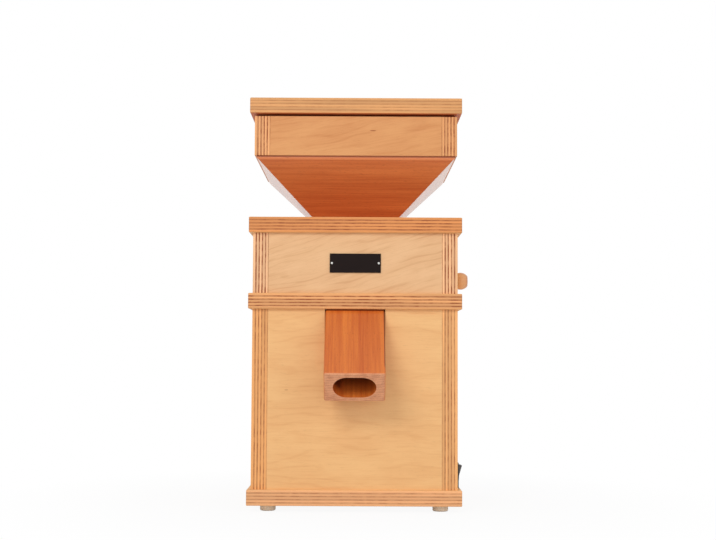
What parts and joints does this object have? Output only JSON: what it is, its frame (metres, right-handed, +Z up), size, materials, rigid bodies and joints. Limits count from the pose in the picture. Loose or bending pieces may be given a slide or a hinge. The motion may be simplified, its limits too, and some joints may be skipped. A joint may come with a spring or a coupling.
{
  "type": "electric grain mill",
  "caption": "Electric stone grain mill in a square wooden box: lidded hopper and funnel above, case with grind lever and switch, sloping flour spout in front.",
  "frame": {"origin": "on the floor, under the mill stones' spindle axis, at the plan centre of the four feet", "axes": "+Z up along the spindle, -Y towards the front with the flour spout, +X towards the side with the grind lever and the switch"},
  "size_m": [0.2172, 0.271, 0.3953],
  "materials": {
    "plywood": "oiled birch-faced multi-ply board, layers open on the edges",
    "beech": "oiled solid beech, warm reddish brown",
    "turned_beech": "turned and waxed beech",
    "felt_foot": "turned wooden foot, unfinished",
    "label_plate": "satin dark brown enamel, blank",
    "bright_steel": "zinc plated",
    "cast_housing": "die cast, fettled",
    "stone": "bonded corundum, rough",
    "motor_core": "laminated electrical steel",
    "copper_winding": "varnished copper wire, laced",
    "black_plastic": "moulded, fine grain",
    "white_plastic": "moulded",
    "rocker_plastic": "moulded, polished"
  },
  "bodies": {
    "case": {"base_board": "plywood", "base_screws": "bright_steel", "feet": "felt_foot", "lower_side_left": "plywood", "lower_side_right": "plywood", "lower_front": "plywood", "lower_back": "plywood", "middle_board": "plywood", "upper_side_left": "plywood", "upper_side_right": "plywood", "upper_front": "plywood", "upper_back": "plywood", "deck_board": "plywood", "nameplate": "label_plate", "nameplate_pins": "bright_steel", "spout": "beech", "funnel_front": "beech", "funnel_right": "beech", "funnel_back": "beech", "funnel_left": "beech", "hopper_left": "plywood", "hopper_right": "plywood", "hopper_front": "plywood", "hopper_back": "plywood", "feed_throat": "turned_beech", "chamber_housing": "cast_housing", "guide_pins": "bright_steel", "motor_pillars": "bright_steel", "chamber_bolts": "bright_steel", "lower_shield": "cast_housing", "upper_shield": "cast_housing", "stator_core": "motor_core", "winding_heads": "copper_winding", "lower_bearing": "bright_steel", "upper_bearing": "bright_steel", "tie_bolts": "bright_steel", "run_capacitor": "white_plastic", "capacitor_clip": "bright_steel", "terminal_block": "white_plastic", "cord_gland": "black_plastic", "gland_nut": "black_plastic", "switch_body": "black_plastic"},
    "lid": {"lid_board": "plywood", "lid_locator": "plywood"},
    "lever": {"adjusting_ring": "cast_housing", "lever_rod": "bright_steel", "knob": "turned_beech"},
    "standing_stone": {"stone_carrier": "cast_housing", "upper_stone": "stone"},
    "spindle": {"runner_stone": "stone", "runner_plate": "cast_housing", "spindle_nut": "bright_steel", "rotor": "motor_core", "spindle": "bright_steel", "cooling_fan": "black_plastic"},
    "switch_rocker": {"rocker": "rocker_plastic"}
  },
  "joints": [
    {"name": "lid_lift", "type": "slide", "parent": "case", "child": "lid", "axis": [0, 0, 1], "range_m": [0, 0.08]},
    {"name": "grind_lever", "type": "hinge", "parent": "case", "child": "lever", "pos_m": [0, 0, 0.225], "axis": [0, 0, 1], "range_deg": [-10, 10]},
    {"name": "stone_lift", "type": "slide", "parent": "case", "child": "standing_stone", "axis": [0, 0, 1], "range_m": [-0.00045, 0.00045]},
    {"name": "spindle_turn", "type": "hinge", "parent": "case", "child": "spindle", "pos_m": [0, 0, 0.15], "axis": [0, 0, 1], "continuous": true},
    {"name": "switch_rock", "type": "hinge", "parent": "case", "child": "switch_rocker", "pos_m": [0.0993, -0.072, 0.0335], "axis": [0, -1, 0], "range_deg": [0, 20]}
  ],
  "couplings": [
    {"joint": "stone_lift", "follows": "grind_lever", "m_per_rad": 0.0025465}
  ]
}
